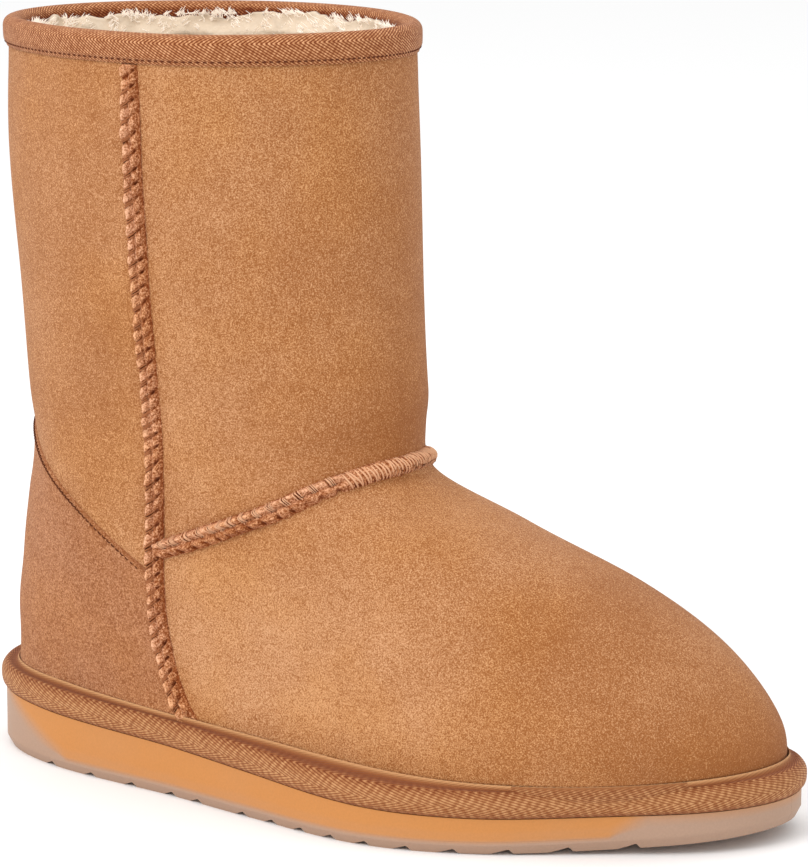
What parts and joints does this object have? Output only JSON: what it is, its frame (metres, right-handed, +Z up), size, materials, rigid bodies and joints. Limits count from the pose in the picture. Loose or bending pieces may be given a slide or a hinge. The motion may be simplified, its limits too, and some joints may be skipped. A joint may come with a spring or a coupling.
{
  "type": "sheepskin boot",
  "caption": "Short pull-on sheepskin boot with a suede shaft, raised seams, taped collar, bound sole edge, foam midsole and grooved rubber outsole.",
  "frame": {"origin": "middle of the boot's bounding box at floor height", "axes": "+X from heel to toe, +Y to the inner (medial) side, +Z up through the collar"},
  "size_m": [0.2832, 0.1122, 0.2485],
  "materials": {
    "suede": "brushed nap",
    "counter_suede": "coarse nap",
    "seam_suede": "gathered by overlock thread",
    "tape": "herringbone weave",
    "foam": "matte",
    "rubber": "matte",
    "fleece": "curled pile"
  },
  "bodies": {
    "root": {"outsole": "rubber", "midsole": "foam", "insole": "fleece", "sole_binding": "tape", "upper": "suede", "heel_counter": "counter_suede", "seam_outer": "seam_suede", "seam_inner": "seam_suede", "seam_vamp": "seam_suede", "collar_binding": "tape"}
  },
  "joints": []
}
